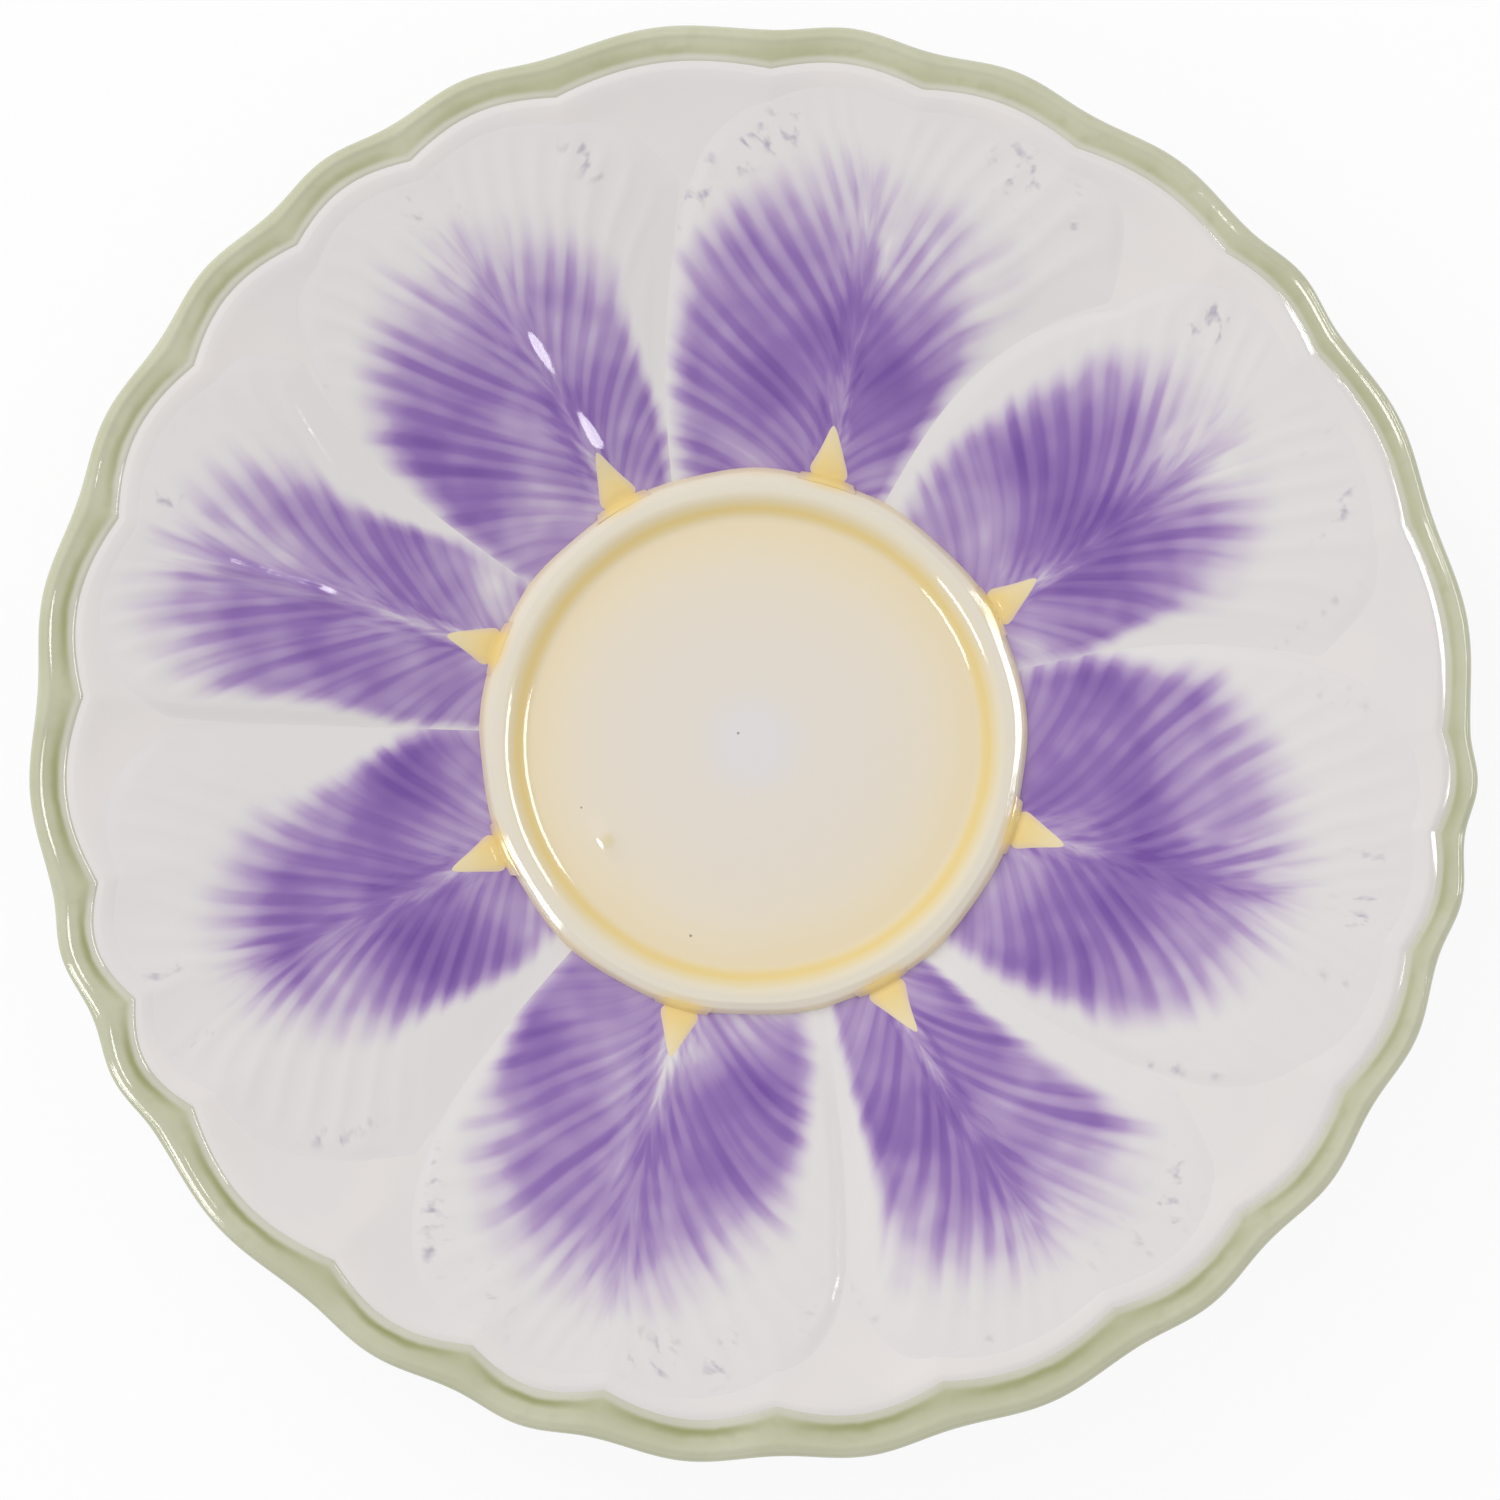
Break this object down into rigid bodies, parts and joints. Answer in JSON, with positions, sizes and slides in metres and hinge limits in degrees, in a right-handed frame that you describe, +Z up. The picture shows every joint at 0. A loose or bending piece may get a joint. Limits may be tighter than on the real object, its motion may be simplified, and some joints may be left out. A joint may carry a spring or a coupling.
{
  "type": "saucer",
  "caption": "Round earthenware saucer moulded as an open flower: ringed well for a cup, glazed petals, pointed sepals, scalloped lip and a bare foot ring.",
  "frame": {"origin": "on the table plane under the middle of the saucer, at the centre of the foot ring", "axes": "+Z up along the saucer's axis; +X to the right and +Y to the top of the picture, which looks straight down"},
  "size_m": [0.1606, 0.16, 0.0205],
  "materials": {
    "clay": "matte",
    "well_glaze": "polished",
    "ring_glaze": "polished",
    "petal_glaze": "polished",
    "sepal_glaze": "polished",
    "white_glaze": "polished",
    "band_glaze": "polished"
  },
  "bodies": {
    "root": {"clay_body": "clay", "cup_well": "well_glaze", "cup_ring": "ring_glaze", "petal_1": "petal_glaze", "petal_2": "petal_glaze", "petal_3": "petal_glaze", "petal_4": "petal_glaze", "petal_5": "petal_glaze", "petal_6": "petal_glaze", "petal_7": "petal_glaze", "petal_8": "petal_glaze", "sepal_1": "sepal_glaze", "sepal_2": "sepal_glaze", "sepal_3": "sepal_glaze", "sepal_4": "sepal_glaze", "sepal_5": "sepal_glaze", "sepal_6": "sepal_glaze", "sepal_7": "sepal_glaze", "sepal_8": "sepal_glaze", "flower_ground": "white_glaze", "rim_band": "band_glaze", "underside_glaze": "white_glaze", "base_glaze": "white_glaze"}
  },
  "joints": []
}
